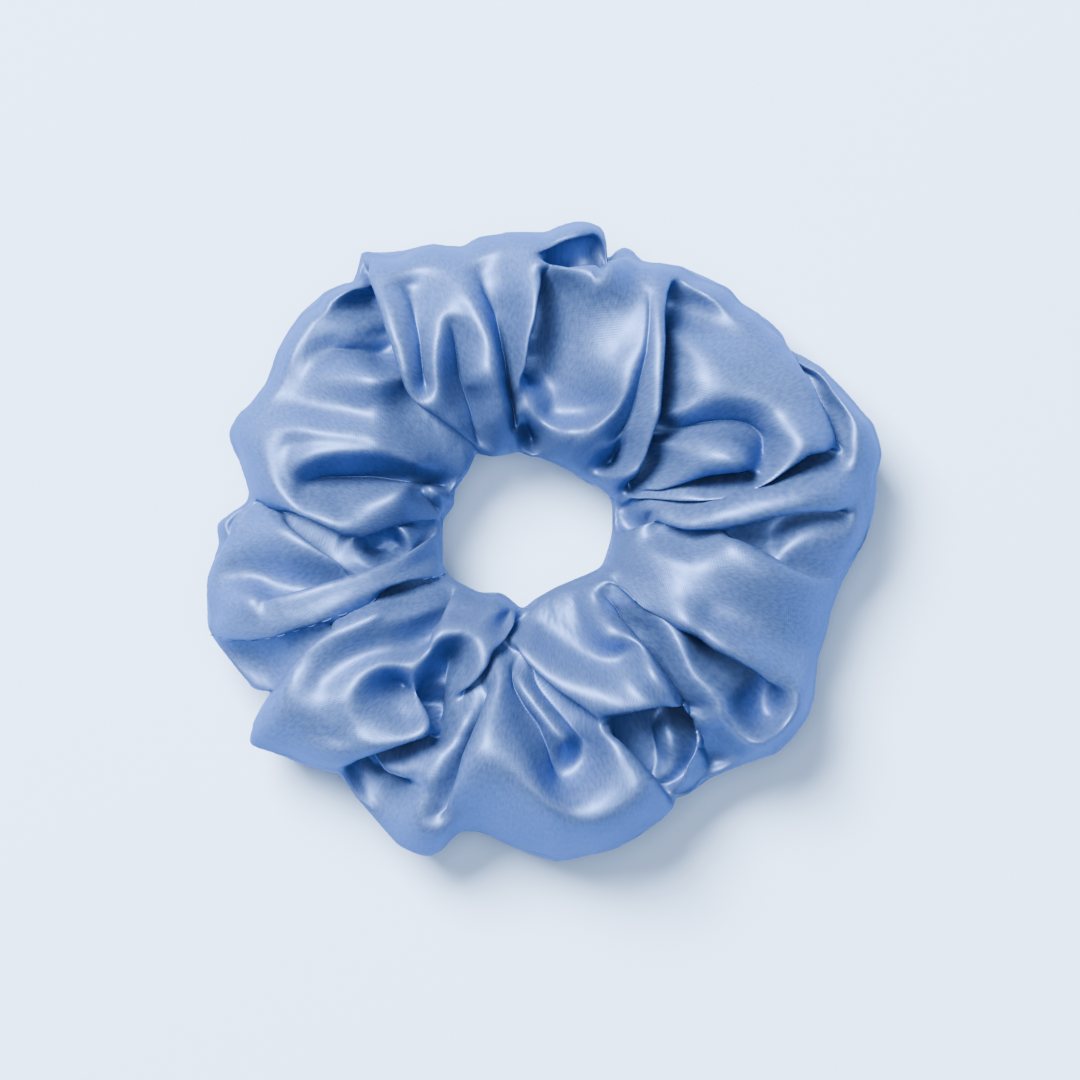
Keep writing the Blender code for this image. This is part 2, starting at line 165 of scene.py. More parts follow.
# The folds, read off the photo from above. A point is (x, y, rise above the tube) in mm. A lap's points are
# (x, y, rise of the upper cloth, rise of the lower cloth), and its lower cloth is on the right.
RIDGES = (
    ((-31, 45.5, 3.5), (-34, 45, 4.5), (-37, 43.5, 4), (-40, 41.5, 3.5), (-42, 38, 3.2), (-43.5, 35, 3),
     (-45, 32, 3), (-47.5, 29, 2.5), (-49.5, 26, 2)),
    ((-40.5, 28.5, 0.8), (-37, 29, 1.5), (-34, 29.5, 1.8), (-31, 29.5, 2), (-28.5, 29, 1.5), (-26, 28, 0)),
    ((-52.5, 22.5, 1.5), (-49.5, 21, 2), (-47, 20, 2.5), (-43, 20, 2.7), (-38.5, 19, 2.7),
     (-34.5, 18.5, 2.7), (-29.5, 18, 2.7), (-24.5, 16, 1.5), (-20.5, 14, 0)),
    ((-45.5, 11, 1), (-44, 13, 2), (-42, 14.5, 2.5), (-39, 15.5, 2.7), (-35, 16, 2.7), (-31.5, 16, 2.7),
     (-26.5, 15, 2), (-22, 13.5, 1)),
    ((-49, 8, 1.5), (-44.5, 6.5, 2), (-40.5, 4, 2), (-36, 2.5, 2), (-32, 1.5, 1)),
    ((-35.5, 6, 0.5), (-29.5, 8, 1.5), (-25.5, 9.5, 2), (-23.5, 10, 1.5)),
    ((-21, 9.5, 0.5), (-18.5, 9, 1), (-17, 8, 0.5), (-16.5, 6, 0)),
    ((-35.5, 0, -1.8), (-34.5, -0.5, -0.5), (-33, -0.5, 0.3), (-30, 1, 1.3), (-27, 2, 1.9), (-25, 1.5, 1.9),
     (-24, 0, 1.5), (-25, -1.5, 1), (-27, -2.5, 0.5), (-30, -3.5, 0), (-32.5, -2.5, -1)),
    ((-59.5, -14.5, 0.5), (-58.5, -12, 1), (-56.5, -10.5, 1.5), (-54, -9.5, 1.7), (-51, -9.5, 1.7),
     (-48, -9.5, 0)),
    ((-55.5, -0.5, 1.6), (-50, 0.5, 1.6), (-44, -2.5, 0.8)),
    ((-57, -14, 1.3), (-48.5, -13, 1.5), (-40, -11, 1.5), (-32.5, -8, 1.5), (-25.5, -5.5, 1),
     (-19.5, -2.5, 0)),
    ((-43.5, -22.5, 1.7), (-38, -18.5, 2.2), (-32.5, -15.5, 2.5), (-26.5, -13, 2.5), (-22, -12.5, 1.5),
     (-18.5, -10.5, 0)),
    ((-22.5, -26.5, 0), (-23, -23, 0.5), (-25.5, -21.5, 1.2), (-28.5, -21, 1.5), (-31.5, -23, 2.2),
     (-34, -26.5, 2.8), (-34.5, -29.5, 2.8), (-33.5, -32, 2.8), (-30, -33, 2.8), (-25.5, -33, 2.2),
     (-22, -33, 1.7), (-19, -33.5, 1)),
    ((-37.5, -27, 2.3), (-37.5, -31, 2.5), (-35.5, -34, 2.5)),
    ((-50, -34.5, 0.8), (-45, -34.5, 1.5), (-40, -34, 2), (-35.5, -34.5, 2.3)),
    ((-21.5, -21.5, 0.5), (-20.5, -19, 1.3), (-19, -17.5, 2), (-17, -16.5, 2.4), (-14, -16.5, 2.4),
     (-12, -17.5, 2.2), (-10.5, -19.5, 1.8), (-11.5, -21.5, 1), (-13, -24, -0.5), (-14.5, -26, -2)),
    ((-15.5, -12.5, 1.2), (-12.5, -13, 2), (-9.5, -12.5, 2.2), (-7, -12, 2), (-5, -11.5, 1.2)),
    ((-29.5, -38.5, -1.5), (-27, -39.5, -1), (-24, -40, -1), (-22, -38, -2), (-20, -35, -3)),
    ((-11.5, -25, -2), (-13, -28.5, -1), (-15.5, -32, 0), (-17.5, -35.5, 0.6), (-19.5, -39, 1),
     (-21.5, -43, 1), (-23.5, -47.5, 1.2), (-22.5, -51, 2), (-20.5, -54.5, 0.5)),
    ((-7.5, -21, 0.3), (-8, -25, 1.5), (-7.5, -29, 2.4), (-6, -33, 3), (-3.5, -37, 3.6), (-1.5, -41.5, 4.2),
     (1.5, -45.5, 4.8), (5, -48.5, 5), (8, -49.5, 5), (11.5, -48, 5), (13, -45, 4.6), (13.5, -41.5, 4),
     (12, -38, 3.2), (11, -34.5, 2.2), (9, -32, 1.5), (6.5, -29.5, 1)),
    ((-4.5, -23, 0.2), (-3.5, -26, 1), (-1.5, -29, 1.3), (1.5, -33, 1.3), (4, -35.5, 0.8)),
    ((8.5, -11.5, 1), (9, -14, 1.5), (10, -17, 1.7), (12.5, -18, 1.5), (15, -17.5, 1.3)),
    ((-3, -19.5, 1), (2.5, -23.5, 1.7), (10, -25.5, 2.2), (17, -26.5, 2.2), (22, -28, 2)),
    ((21, -31.5, -4.5), (22, -35, -2.5), (22, -39, -2), (21.5, -43, -1.8)),
    ((8, -11.5, 0.5), (9, -8.5, 1.7), (10, -7, 2), (11.5, -7, 2.3), (13, -8, 2.6), (15.5, -10, 3),
     (18.5, -13, 3.3), (21.5, -16, 3.5), (24, -19, 3.6), (26.5, -23, 3.7), (29, -25.5, 3.8), (31, -29, 4),
     (33, -32.5, 4.6), (35.5, -35.5, 5.2), (38, -37, 5.8), (41, -36.5, 6), (43.5, -34.5, 5.6),
     (45, -31.5, 4.8), (45.5, -29, 4), (44, -26.5, 3), (42, -24, 2.2), (39, -22.5, 1.7)),
    ((42, -1, -0.3), (47, 0.5, 0.5), (52.5, 1.5, 1), (55, 2.5, 0.8)),
    ((14.5, -0.5, 1.3), (18.5, -1.5, 2), (24, -3.5, 2.5), (29.5, -6, 2.6), (34.5, -8.5, 2.6),
     (40, -11.5, 2.2), (45.5, -14, 1.7), (49.5, -15.5, 0.7)),
    ((17, 5.5, 0.7), (20.5, 5, 1.3), (26, 4.5, 2), (31, 5.5, 2.5), (36.5, 7, 2.7), (42, 8.5, 2.7),
     (47, 10, 2.7), (52.5, 11, 2.3), (57, 11.5, 1)),
    ((23.5, 48, 1.3), (21, 47.5, 2.2), (20, 45.5, 3), (20, 43, 3.4), (20, 38, 3.7), (20, 34, 3.7),
     (19, 29, 3.7), (18.5, 24.5, 3.3), (17.5, 20.5, 2.8), (16.5, 16.5, 2), (15, 14, 1.5), (12.5, 12.5, 1),
     (10, 11.5, 0.5), (8, 12, 0.2), (7.5, 13.5, 0.2), (9, 15, 0.5), (11, 16.5, 0.7), (13, 18, 0.5)),
    ((24, 48, 1.3), (26, 46, 2), (29, 43, 2.7), (33, 41, 3), (36.5, 39, 3.2), (39.5, 35.5, 3),
     (42, 32, 2.7), (44.5, 27.5, 2.2), (47, 23.5, 1.8), (49.5, 19, 1.2), (51.5, 17, 0.7)),
    ((22.5, 22, 0), (26, 24, 1.5), (30, 25, 2.2), (34.5, 25.5, 2.4), (39, 24.5, 2.4), (42.5, 23, 2.2)),
    ((20.5, 16.5, -1.5), (24, 17.5, 0.5), (27.5, 18, 1.8), (31, 18, 2.3), (34, 17, 2.3), (35.5, 15.5, 2.2),
     (37, 13.5, 1.7)),
    ((17, 8, 0), (22.5, 8.5, 0.5), (26.5, 8.5, 0.7), (30, 8, 0.5)),
    ((41, 20.5, 2), (42.5, 18, 2.2), (42, 15, 2.2), (39.5, 12.5, 1.5), (36, 9.5, 1.5)),
    ((45, 32.5, 0.5), (47.5, 31, 1.2), (49.5, 29, 1.8), (51.5, 25.5, 2), (53.5, 22, 2), (53.5, 18, 1.7),
     (54, 14.5, 1.5)),
    ((16, 47.5, 2.3), (16, 43, 2.4), (14.5, 37.5, 1.8), (12.5, 33.5, 1)),
    ((-2.5, 21.5, 0.5), (0, 20.5, 1.5), (3, 20, 2), (6.5, 20, 2.2), (9.5, 21, 2.4), (12, 23, 2.5),
     (14, 26, 2.7), (15.5, 30.5, 2.7), (17, 35, 2.8), (17.5, 40, 2.8), (17.5, 44.5, 2.5)),
    ((-32, 51.5, 1), (-29.5, 48, 2.7), (-27, 43.5, 3.2), (-25.5, 38, 3.3), (-24, 33.5, 3.2),
     (-23.5, 29.5, 3), (-23, 26.5, 2.6), (-22.5, 24.5, 2.2), (-21, 24, 2), (-20, 25, 2), (-19, 27.5, 2.2),
     (-19, 31.5, 2.3), (-19, 34.5, 2.3), (-18, 38, 2.3), (-17.5, 40.5, 2.3), (-16, 41, 2.2),
     (-14.5, 41, 1.8)),
    ((-8, 54, 1), (-10, 54, 1.7), (-12.5, 53, 2.2), (-13.5, 51.5, 2.6), (-14, 48.5, 2.8), (-14, 45.5, 2.8),
     (-13, 42.5, 2.8), (-11.5, 40, 2.6), (-9.5, 36.5, 2.3), (-8.5, 33, 2.2), (-7.5, 29.5, 2), (-7, 26, 1.5),
     (-6, 21.5, 1), (-6, 17.5, 0)),
    ((-9.5, 54, 1.5), (-6, 52.5, 2.2), (-4, 50.5, 2.7), (-2.5, 47.5, 3.2), (-2.5, 43.5, 3.3),
     (-3.5, 40, 3.3), (-4, 36.5, 3.3), (-4.5, 33, 3.2), (-4.5, 29.5, 2.7), (-4.5, 26.5, 1.5)),
    ((-11.5, 35, 1.8), (-12.5, 32, 2.2), (-13, 29.5, 2.2), (-13.5, 27.5, 1.5)),
    ((-18, 27, 1.2), (-17, 23.5, 1), (-14.5, 20, 0.7)),
    ((-10.5, 26, 1.5), (-9.5, 20.5, 1)),
    ((-2, 28.5, -1), (-3.5, 25.5, 0.3), (-4.5, 23, 0.5), (-5, 19, 0)),
)
VALLEYS = (
    ((-38, 39.5, 1), (-35.5, 39, -0.8), (-32.5, 38.5, -3), (-30, 37.5, -5.5)),
    ((-39.5, 36.5, 1), (-36.5, 36.5, -1.5), (-32.5, 35.5, -4.5), (-29, 35, -7)),
    ((-47.5, 24.5, 0.8), (-43.5, 24, -0.3), (-40, 23.5, -0.5), (-35.5, 23.5, -0.3), (-31, 22.5, 0)),
    ((-46, 17, 1), (-41.5, 17.5, 1.5), (-36.5, 17.5, 1.7), (-31, 17, 2)),
    ((-58.5, -7.5, -1), (-55, -7, -3), (-50.5, -6.5, -4), (-45, -6.5, -4), (-40, -6, -3.5),
     (-35.5, -5.5, -3)),
    ((-39.5, -25.5, 0.6), (-36.5, -22.5, 0.3), (-32, -20, 0), (-26.5, -19, -0.3), (-24, -20, -0.8)),
    ((-30.5, -27.5, -0.5), (-27, -30, -1), (-23, -31, -2)),
    ((-18.5, -20.5, -3.5), (-18.5, -23, -6.5)),
    ((-15, -20, -3.5), (-15.5, -23, -6.5)),
    ((-8, -15, -1), (-6.5, -12.5, -1.5), (-6, -10.5, -1)),
    ((-18.5, -35, -5.5), (-20, -38, -3), (-22, -41, -1.5)),
    ((4, -38.5, -4), (6.5, -38, -4.7), (8.5, -38.5, -4)),
    ((-2.5, -13, -1.5), (0, -15.5, -2.2), (3.5, -18.5, -2.5), (6.5, -20, -2.5), (10, -21, -2),
     (13.5, -20.5, -1.5), (16, -19, -0.7)),
    ((5.5, -10.5, -1), (6.5, -14, -1.5), (7, -17.5, -2)),
    ((24, -32, -7), (24.5, -35.5, -6.5), (23.5, -39.5, -4.5)),
    ((16, -13, -1.5), (18, -15.5, -2.5), (20.5, -19, -3.2), (23.5, -23.5, -3.2), (26, -27, -3),
     (28.5, -31, -2.4)),
    ((26, -19.5, -4.5), (29, -22, -5), (32, -24, -4.7), (35, -26, -4.2)),
    ((34, -28.5, -4.2), (36.5, -31, -4.7), (39, -32, -4.2), (41, -31.5, -3.6)),
    ((30.5, -32, -1), (32.5, -35.5, -2), (34.5, -38, -2)),
    ((28.5, -12.5, 1.5), (34, -14, 1), (40, -17.5, 1), (45.5, -21, 1)),
    ((25, 37.5, 0.5), (26, 32, 0.5), (25, 27.5, 0.5)),
    ((5.5, 44.5, 1), (6, 40, -1), (5, 35.5, -2.7), (3, 32, -4), (1, 28.5, -5)),
    ((0.5, 23, -3.2), (2.5, 22, -2.6), (6.5, 22, -2.2), (9.5, 23, -1.2), (11.5, 24.5, -0.3)),
    ((-9, 49.5, 0.7), (-8, 46, 0), (-7, 42.5, -1.5), (-6.5, 39.5, -3)),
)
CREASES = (
    ((-39.5, 34, -1), (-36.5, 34, -3), (-33.5, 34, -5.5), (-30, 33, -7.5), (-28, 32.5, -8)),
    ((-43, 9.5, -1), (-41.5, 10.5, -3), (-38.5, 11.5, -5), (-34.5, 11.5, -6), (-30, 11.5, -6.5),
     (-24.5, 10.5, -6), (-20, 10, -5), (-17, 9.5, -4)),
    ((-22.5, 9.5, -1.5), (-20.5, 7.5, -2), (-18.5, 5.5, -2), (-18, 3.5, -2)),
    ((-30.5, -1, -5), (-28.5, -1, -9), (-26, -0.5, -9)),
    ((-27.5, -24, -2.5), (-25, -24.5, -5), (-23.5, -26.5, -6.5)),
    ((-17, -19.5, -4), (-17, -21.5, -7), (-17.5, -24.5, -8.5), (-18, -27.5, -9), (-18, -31.5, -9),
     (-18, -34, -8.5)),
    ((-6, -21, -1), (-5.5, -25.5, -1.7), (-3.5, -29, -2.2), (-1, -32, -2.7), (0.5, -36, -3.2),
     (1.5, -40, -3.2), (2.5, -42.5, -3)),
    ((-4, -22, -2.2), (-2.5, -24, -2.6), (-0.5, -26.5, -2.4), (2, -29.5, -2.4), (5, -33, -3),
     (8, -35.5, -4)),
    ((18.5, -31, -6.5), (19.5, -35, -7.5), (20.5, -39.5, -6)),
    ((10.5, -9, -0.3), (12.5, -11.5, -2.7), (15.5, -15, -5.8), (19, -19.5, -7.8), (22, -24, -8),
     (25, -28.5, -7.2), (27.5, -33, -5.8), (28.5, -37.5, -4), (29.5, -40.5, -2.5)),
    ((13, 6.5, -3), (14.5, 6, -3)),
    ((11.5, 13.5, -5), (12.5, 16, -5), (13.5, 18, -2)),
    ((21, 19.5, -4), (24, 20, -3.2), (27.5, 21, -2.7), (32, 21.5, -2.7), (36, 21, -3.2), (38.5, 19, -4.2),
     (38.5, 16, -5), (38, 13.5, -4.5)),
    ((46.5, 29.5, -2.5), (48.5, 26, -2.5), (51, 22, -2), (52, 19, -1.2)),
    ((18.5, 44, 2.2), (18.5, 38.5, 1.6), (18, 33, 1), (16.5, 27, 0.2), (15.5, 23, -0.5), (14, 20, -1.3),
     (12, 17.5, -1.5)),
    ((-3.5, 20.5, -4.5), (-2.5, 19.5, -6.5), (-2, 18, -6.5)),
    ((-21, 26.5, -1), (-21.5, 30, -1), (-22, 35.5, -0.5), (-23.5, 41.5, 0), (-25, 45.5, 0.5)),
    ((-12, 48, 0.8), (-10.5, 43.5, -0.5), (-9, 40.5, -2.5), (-8, 36.5, -4), (-7, 32, -4.5),
     (-6.5, 27.5, -4.5), (-5.5, 23.5, -4), (-5, 20, -3)),
    ((-16.5, 39, 0.8), (-16, 36.5, -1), (-15.5, 33, -2.7), (-15, 29.5, -4.2), (-14, 26, -4.2),
     (-13, 23, -3.7), (-12.5, 20, -2.7), (-11.5, 16.5, -1)),
)
LAPS = (
    ((-52.5, 7.5, 1, -1), (-50, 7, 1.5, -2), (-46, 5.5, 1.5, -3), (-40.5, 3.5, 1.5, -3),
     (-35.5, 1, 1, -2.5), (-32, 0.5, 0.5, -3), (-27, 2.5, 0.5, -1), (-22, 3.5, 0, -1), (-18, 4, 0, -1)),
    ((-34, -5.5, 0.5, -1.5), (-36, -3.5, 0.7, -2), (-39, -1.5, 0.7, -2.3), (-43, 1.5, 0.7, -2.3),
     (-46, 4, 0.7, -2.2), (-48.5, 5.5, 0.5, -1.5), (-51, 7, 0.2, -0.7)),
    ((-52, 7, 0.5, -1), (-54, 5, 1, -2), (-55.5, 3.5, 1, -2.5), (-57.5, -0.5, 1, -2), (-58, -2, 0.5, -1)),
    ((-18, 2, 0, -1), (-20.5, 0.5, 0.5, -1.5), (-23.5, -1.5, 1, -1.5), (-26, -3, 1, -2), (-29, -4, 1, -2),
     (-33, -5.5, 1, -2.5), (-36.5, -6.5, 1, -3), (-41.5, -8, 1, -2.5), (-47, -9.5, 0.8, -1),
     (-50, -10.5, 0.5, 0)),
    ((-59, -17.5, 0.5, -0.7), (-55, -17.5, 0.8, -0.8), (-51, -17.5, 0.8, -0.8), (-47, -17, 0.8, -0.8),
     (-43, -15.5, 0.8, -0.8), (-39, -14.5, 0.8, -1.2), (-35.5, -13, 0.8, -2.5), (-32.5, -11, 1, -4),
     (-30, -9.5, 1, -4.5), (-27, -8, 1, -4), (-24, -7, 0.8, -2.5), (-20.5, -6.5, 0.5, -1),
     (-17, -6.5, 0, -0.5)),
    ((-28.5, -10, 0.5, -1), (-32, -11.5, 1, -1), (-35.5, -13.5, 1.5, -1.2), (-41.5, -18.5, 1.7, -1.5),
     (-45, -22, 1.7, -1.5), (-48.5, -26.5, 1.5, -1.5), (-51, -30, 1.2, -1), (-52, -34, 0.5, 0)),
    ((-19, -33.5, 0.5, -6), (-20.5, -30, -1, -8), (-22, -27.5, -2, -8), (-22.5, -25.5, -1, -6)),
    ((-36, -40.5, 0.5, -1.5), (-32.5, -38.5, 1.2, -3), (-28.5, -37, 1.5, -4), (-24, -35.5, 1.5, -4.5),
     (-19, -34, 0.5, -5)),
    ((-15.5, -8, 0.3, -0.7), (-17, -10.5, 0.8, -1.2), (-18.5, -14, 1, -1.5), (-20, -16.5, 1, -1.5),
     (-21, -19, 0.6, -1)),
    ((-15, -27, -2.5, -4.5), (-13.5, -26, -1.5, -4), (-11.5, -24, -0.3, -3), (-10, -22, 0.6, -2),
     (-9, -19.5, 0.9, -1.5), (-7, -17.5, 0.9, -1.7), (-5.5, -15, 0.6, -2.2), (-4.5, -12.5, 0, -2)),
    ((-30, -39, -1.5, -3.5), (-27.5, -41, -1, -4.5), (-24.5, -42, -1, -4), (-23, -42, -1, -3)),
    ((-10, -25, -0.7, -1.5), (-10.5, -27.5, 0.4, -2.2), (-11.5, -30.5, 1.2, -3), (-13, -34, 1.6, -3.5),
     (-14.5, -37.5, 1.7, -3.5), (-15.5, -41, 1.6, -2.2), (-17, -45.5, 1.2, -0.9), (-18, -48.5, 0.8, -0.2)),
    ((-5.5, -18.5, 0.5, -2), (-3.5, -21, 0.7, -2.3), (-1, -23.5, 0.7, -2), (2.5, -26.5, 0.7, -1.3),
     (7, -29.5, 0.7, -0.8), (10, -32, 0.7, -0.5)),
    ((23, -46, 0.5, -3), (20, -41.5, 1, -6), (17, -38.5, 1, -5), (13.5, -35, 1, -4), (11.5, -33, 0.7, -2)),
    ((26, -30, 1, -1.5), (24.5, -27.5, 1.4, -4), (22.5, -25, 1.5, -5.5), (20, -21.5, 1.5, -5.5),
     (17.5, -18, 1.5, -5), (14.5, -15.5, 1.2, -3.5), (12.5, -13, 1, -1.5)),
    ((10.5, -31.5, 0.7, -1.5), (13.5, -30.5, 1.2, -2.5), (18, -29.5, 1.5, -4), (21.5, -29, 1.7, -5.5),
     (24, -29.5, 1.7, -7), (26, -31.5, 1.7, -6), (26.5, -34.5, 1.7, -5.5), (26, -38, 1.5, -5),
     (24.5, -41, 1, -3.5), (23.5, -43, 0.5, -2)),
    ((12, -7, 0.5, 0), (14.5, -9, 1.2, 0.5), (17, -11.5, 1.8, 1), (20.5, -13.5, 2.2, 0.5),
     (23.5, -15.5, 2.2, -3), (27, -17, 1.8, -5.5), (29.5, -19, 1.8, -5), (33.5, -21, 1.8, -4),
     (37, -23, 1.8, -3.2), (39.5, -25, 1.7, -2.7), (41.5, -26.5, 1.8, -1)),
    ((19, 4, 0.8, -0.5), (21, 3, 1.2, -1), (24.5, 2, 1.8, -1.5), (28, 2, 2, -1), (31, 2, 2, -0.5),
     (34.5, 2.5, 2, -1.5), (38, 3.5, 2, -2), (42.5, 4.5, 2, -2), (46.5, 5, 1.8, -1.5), (50.5, 5, 1.5, -1),
     (54, 5.5, 1, -0.5)),
    ((53, -7.5, 0.7, 0), (49.5, -6.5, 1.2, -0.7), (44, -4.5, 1.5, -1), (38.5, -1.5, 1.5, -1.2),
     (34, 0.5, 1.5, -1.5), (31, 1.5, 1.5, -1)),
    ((19, 4, 1, -2.5), (17, 3, 0.5, -3), (14.5, 2, 0, -2.5), (12.5, 1.5, 0, -1)),
    ((14.5, 7.5, 0, -1), (18.5, 7.5, 0.5, -1), (24, 7, 1, -1), (27.5, 7, 1.2, -1), (33, 7.5, 1.8, -2),
     (37, 9, 2, -3), (40, 10.5, 2, -3.5), (43.5, 13, 2, -3.5), (46.5, 15, 2, -3.5), (49, 15.5, 1.7, -2.5),
     (52, 16.5, 1, -1)),
    ((14.5, 9.5, 0.5, -3), (16.5, 12, 1.5, -4), (18, 15, 2, -5), (19, 18, 2.5, -5), (20.5, 22.5, 3, -4.5),
     (21, 29, 3.4, -4), (21.5, 35.5, 3.4, -4), (21.5, 40, 3.2, -3.5), (22, 44, 2.7, -2.5),
     (23, 46.5, 1.7, 0.7)),
    ((52, 16.5, 0.7, -1), (50.5, 21, 1, -2.5), (48, 26.5, 1, -3), (45.5, 30.5, 1, -3),
     (43.5, 34.5, 0.8, -1.5), (40, 38.5, 0.5, 0)),
    ((17, 9, 0, -1), (20.5, 9, 0.3, -1), (24, 10, 0.5, -2.5), (28.5, 11.5, 0.7, -5), (33, 12, 1, -5.5),
     (36.5, 12, 1, -4.5)),
    ((15.5, 51, 1.5, 0), (13.5, 50.5, 3, -1), (10.5, 49, 4.2, -3), (7.5, 48.5, 4.6, -4), (4, 48, 4.6, -4),
     (1, 49, 3.8, -3), (-0.5, 50.5, 2.5, 0)),
    ((0, 50.5, 2.5, 0), (1.5, 52, 2.6, -2), (4, 53, 2.6, -3), (7, 53.5, 2.6, -3), (9.5, 54, 2, -2)),
    ((-3.5, 28.5, 1.7, -4.5), (-3, 32, 2.4, -5), (-2.5, 35.5, 3, -5), (-1.5, 39, 3.2, -4.5),
     (-1, 42.5, 3.2, -3.5), (-0.5, 45, 2.7, -2), (0, 48, 2.5, 0)),
    ((-31.5, 49.5, 1.5, -1), (-31, 46, 2.2, -4), (-29.5, 42, 2.5, -7), (-28, 37, 2.5, -8.5),
     (-26.5, 33, 2.5, -9), (-25.5, 29.5, 2.2, -2), (-24.5, 26.5, 1.3, -2.5), (-23, 24.5, 1, -2.5),
     (-21, 23, 0.7, -2), (-18.5, 21.5, 0.5, -1.5), (-15, 19, 0.3, -1), (-12, 16.5, 0, -0.5)),
)
FOLDS = {"ridge": RIDGES, "valley": VALLEYS, "crease": CREASES, "lap": LAPS}
# The ring's outline and the hole's edge, and the closing seam from the hole outward: (x, y) in mm.
OUTLINE = (
    (-32.5, 51.5), (-30, 51.5), (-28, 51.5), (-24, 52), (-20, 53), (-17, 52.5), (-14.5, 52.5), (-13, 53.5),
    (-12, 54), (-6.5, 55), (0, 55), (2.5, 56), (5.5, 57), (8, 57), (10, 56), (10.5, 55), (10.5, 52.5),
    (10.5, 50.5), (12, 50.5), (12.5, 51.5), (14, 52.5), (15.5, 52), (17, 50), (20, 49.5), (24, 49), (29, 47),
    (33, 45), (35, 42.5), (37.5, 41), (40, 39.5), (42.5, 37), (43.5, 34.5), (46.5, 33), (49.5, 31),
    (54.5, 25.5), (57, 22.5), (58.5, 21), (59.5, 18), (60, 15.5), (59, 12), (59, 9), (58.5, 5.5), (57, 0.5),
    (53, -7), (51, -12), (50, -17), (48.5, -21.5), (48, -27.5), (47, -31), (44, -35), (41.5, -37.5),
    (35.5, -39.5), (29.5, -42), (27.5, -43.5), (25.5, -45), (23, -45.5), (23, -47), (21, -49), (16.5, -52.5),
    (11.5, -55), (7, -56), (2.5, -57), (-1.5, -56), (-5, -54.5), (-9, -52.5), (-12, -51.5), (-15, -51.5),
    (-17, -53), (-18, -54.5), (-20.5, -56), (-23, -55.5), (-26, -54), (-29.5, -50), (-33, -46), (-36.5, -41),
    (-39.5, -40.5), (-43, -39.5), (-46.5, -38), (-49.5, -37), (-52.5, -36), (-52, -33), (-50.5, -30),
    (-48.5, -26.5), (-52, -26), (-55, -22.5), (-58, -18.5), (-59.5, -16), (-60, -14.5), (-60, -9.5),
    (-60, -6.5), (-59, -3.5), (-58, -0.5), (-58.5, 3), (-56, 5), (-53, 7), (-52.5, 9), (-53.5, 12.5),
    (-54.5, 15), (-55.5, 17), (-56, 18.5), (-56, 20), (-55, 21.5), (-54, 23), (-52.5, 24), (-49.5, 28),
    (-47.5, 34), (-45.5, 37.5), (-43, 41), (-39, 44.5), (-35.5, 46), (-34, 46), (-33, 49),
)
HOLE_EDGE = (
    (-11.5, 15.5), (-9, 15), (-4.5, 16), (-2.5, 15), (-1, 15), (2.5, 13.5), (4.5, 12.5), (7.5, 10.5),
    (10, 9.5), (11.5, 8), (12, 6.5), (12, 5), (12, 2), (11.5, -0.5), (10.5, -3.5), (10, -4.5), (8, -5.5),
    (2, -8), (-1.5, -10), (-4, -12), (-5, -11), (-7.5, -9), (-11.5, -9), (-15.5, -7), (-17, -6), (-18, -4),
    (-18, 2), (-18, 4), (-16, 6.5), (-16, 9), (-13.5, 12.5), (-12, 16),
)
CLOSING_SEAM = (
    (-17.5, -5.5), (-20.5, -6), (-24, -6.5), (-27, -7.5), (-30, -9), (-32.5, -10.5), (-35.5, -12),
    (-39, -13.5), (-43, -15), (-47, -16), (-51, -17), (-55, -17), (-59, -16.5),
)


def rounded(values, waves):
    """The closed curve's values with only its slowest waves."""
    spectrum = np.fft.rfft(values)
    spectrum[waves + 1:] = 0
    return np.fft.irfft(spectrum, len(values))


def along(points, step, closed=False):
    """Points spaced evenly along a polyline, softened at its corners. Extra columns go with them."""
    points = np.array(points, float)
    if closed:
        points = np.vstack([points, points[:1]])
    distance = np.append(0, np.cumsum(np.hypot(*np.diff(points[:, :2], axis=0).T)))
    count = max(2, int(distance[-1] / step))
    places = np.linspace(0, distance[-1], count + 1)
    result = np.column_stack([np.interp(places, distance, column) for column in points.T])
    kernel = np.ones(5) / 5
    padded = np.pad(result, ((2, 2), (0, 0)), mode="wrap" if closed else "edge")
    soft = np.column_stack([np.convolve(column, kernel, "valid") for column in padded.T])
    if not closed:
        soft[0], soft[-1] = result[0], result[-1]
    return soft


def polar(x, y):
    """(angle, radius) about the ring's centre."""
    x, y = x - RING_CENTRE[0], y - RING_CENTRE[1]
    return np.arctan2(y, x) % FULL_TURN, np.hypot(x, y)


def radius_at(edge, angles, largest):
    """The edge's radius at each angle: the largest or smallest where it doubles back."""
    for step in EDGE_STEPS:
        edge = along(edge, step, closed=True)
    theta, radius = polar(*edge.T)
    bins = np.minimum((theta / FULL_TURN * len(angles)).astype(int), len(angles) - 1)
    pick, start = (np.maximum, -np.inf) if largest else (np.minimum, np.inf)
    found = np.full(len(angles), start)
    pick.at(found, bins, radius)
    known = np.isfinite(found)
    return np.interp(angles, angles[known], found[known], period=FULL_TURN)


def edge_share(v, edge, reach):
    """How far a row v follows the detail of the edge row: 1 at the edge, fading over the reach."""
    away = np.abs((v - edge + math.pi) % FULL_TURN - math.pi)
    return np.exp(-((away / reach) ** 2))


def row_radius(v, middle, half, outer_extra, hole_extra):
    """The unfolded tube's radius at v, which follows both edges."""
    outer = outer_extra * edge_share(v, 0, OUTER_REACH)
    hole = hole_extra * edge_share(v, math.pi, HOLE_REACH)
    return middle + half * np.cos(v) + outer - hole


def lift(v):
    """How much of a row's push lifts it: none at the edges, all of it on the upper side."""
    return 1 - (1 - np.clip(np.sin(v) / FULL_LIFT, 0, 1)) ** 2


